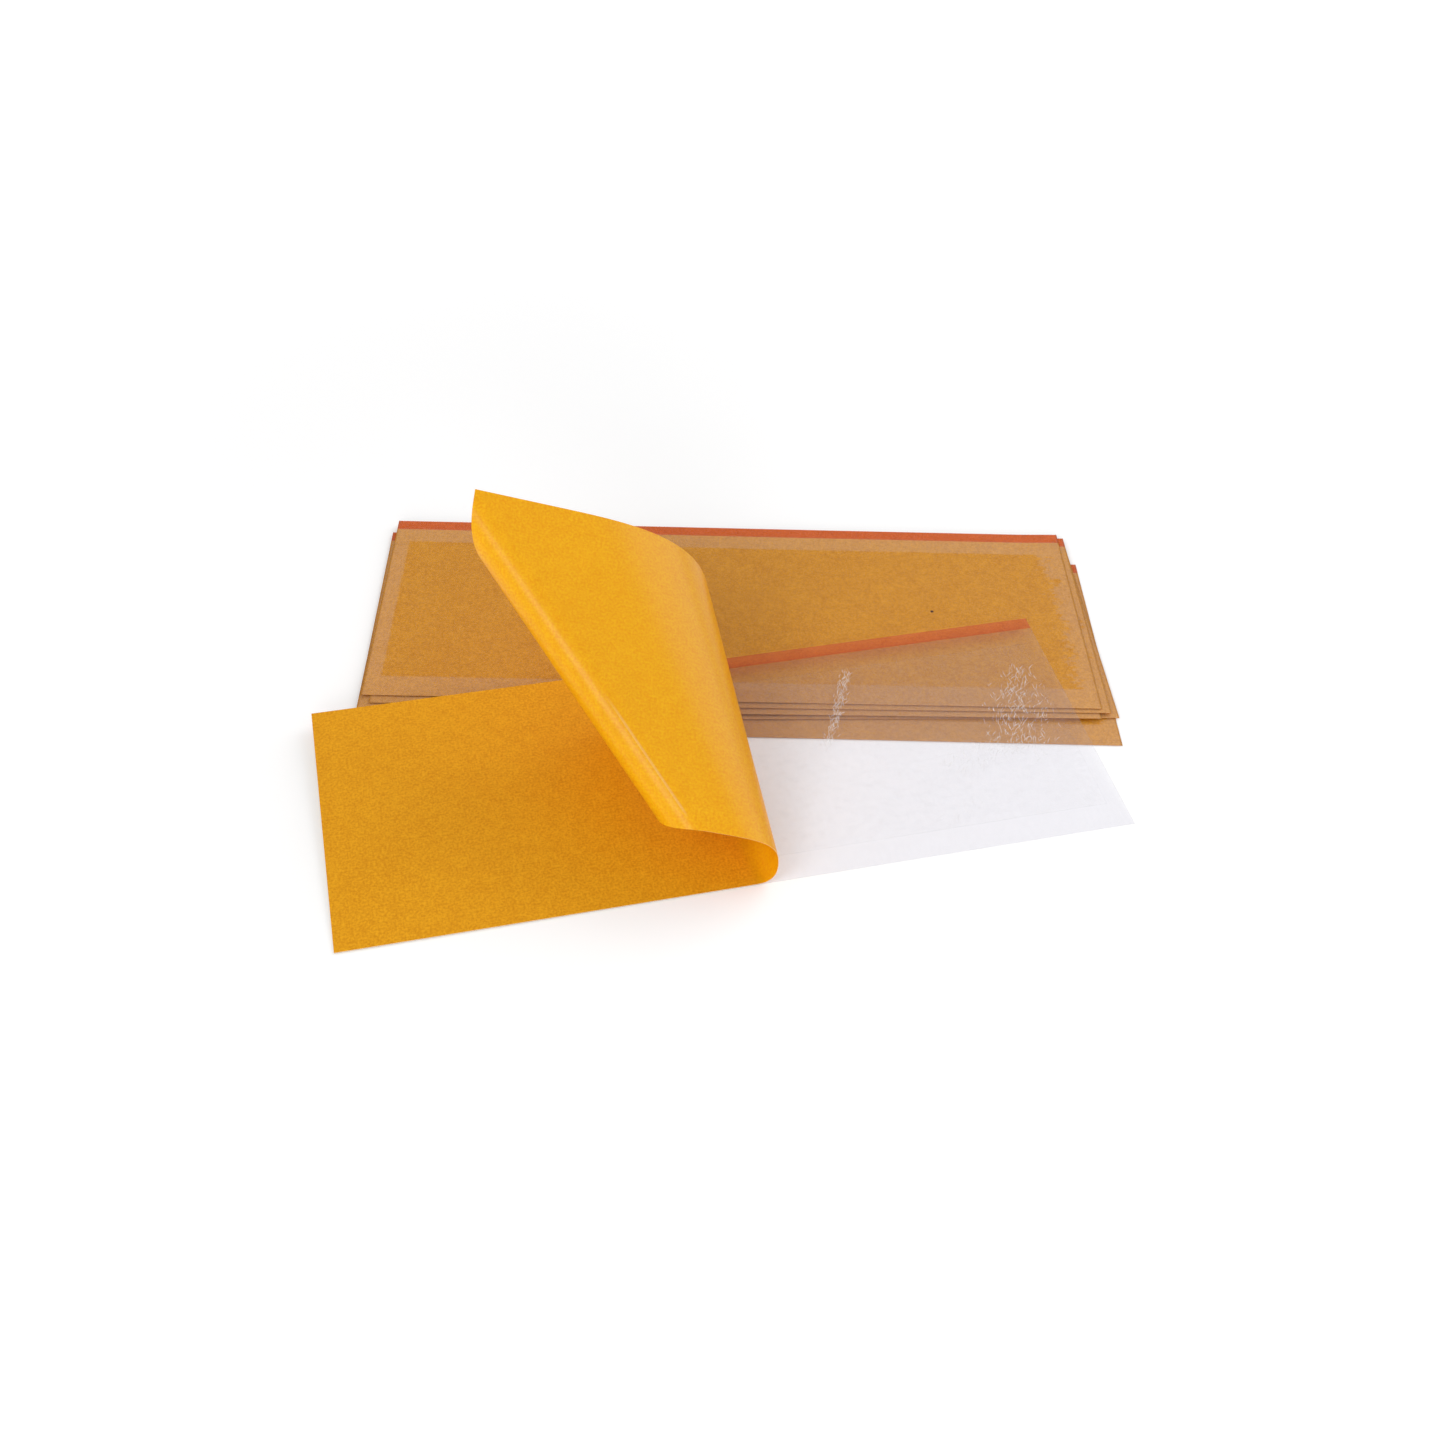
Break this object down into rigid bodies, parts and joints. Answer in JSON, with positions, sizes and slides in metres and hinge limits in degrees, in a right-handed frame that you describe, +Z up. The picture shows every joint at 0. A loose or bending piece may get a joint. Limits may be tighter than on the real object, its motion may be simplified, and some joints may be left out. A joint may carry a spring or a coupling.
{
  "type": "sticky trap sheet pile",
  "caption": "Loose pile of sticky insect trap sheets, glue-coated clear film on kraft release paper, and an open sheet across it whose paper is peeled half back to bare the glue.",
  "frame": {"origin": "centre of the bottom sheet's underside", "axes": "+X along the pile's long side, to the right as pictured; +Y across the pile, away from the viewer, towards the stripes; +Z up"},
  "size_m": [0.2695, 0.2058, 0.0827],
  "materials": {
    "clear_film": "clear plastic film with a faint haze",
    "glue": "clear tacky glue coat",
    "stripe": "printed orange stripe",
    "release_paper": "waxed kraft-yellow release paper"
  },
  "bodies": {
    "sheet_1": {"liner_1": "release_paper", "glue_1": "glue", "stripe_1": "stripe", "film_1": "clear_film"},
    "sheet_2": {"liner_2": "release_paper", "glue_2": "glue", "stripe_2": "stripe", "film_2": "clear_film"},
    "sheet_3": {"liner_3": "release_paper", "glue_3": "glue", "stripe_3": "stripe", "film_3": "clear_film"},
    "sheet_4": {"liner_4": "release_paper", "glue_4": "glue", "stripe_4": "stripe", "film_4": "clear_film"},
    "sheet_5": {"liner_5": "release_paper", "glue_5": "glue", "stripe_5": "stripe", "film_5": "clear_film"},
    "open_sheet": {"open_film": "clear_film", "open_glue": "glue", "open_stripe": "stripe", "open_liner": "release_paper", "liner_roll": "release_paper"},
    "peeled_paper": {"liner_flap": "release_paper"}
  },
  "joints": [
    {"name": "lift_sheet_2", "type": "slide", "parent": "sheet_1", "child": "sheet_2", "axis": [0, 0, 1], "range_m": [0, 0.05]},
    {"name": "lift_sheet_3", "type": "slide", "parent": "sheet_2", "child": "sheet_3", "axis": [0, 0, 1], "range_m": [0, 0.05]},
    {"name": "lift_sheet_4", "type": "slide", "parent": "sheet_3", "child": "sheet_4", "axis": [0, 0, 1], "range_m": [0, 0.05]},
    {"name": "lift_sheet_5", "type": "slide", "parent": "sheet_4", "child": "sheet_5", "axis": [0, 0, 1], "range_m": [0, 0.05]},
    {"name": "lift_open_sheet", "type": "slide", "parent": "sheet_5", "child": "open_sheet", "axis": [0, 0, 1], "range_m": [0, 0.08]},
    {"name": "peel_paper", "type": "hinge", "parent": "open_sheet", "child": "peeled_paper", "pos_m": [-0.02484, -0.07435, 0.023], "axis": [0.4368, -0.8636, -0.2519], "range_deg": [-150, 0], "deforming": ["liner_roll"]}
  ]
}
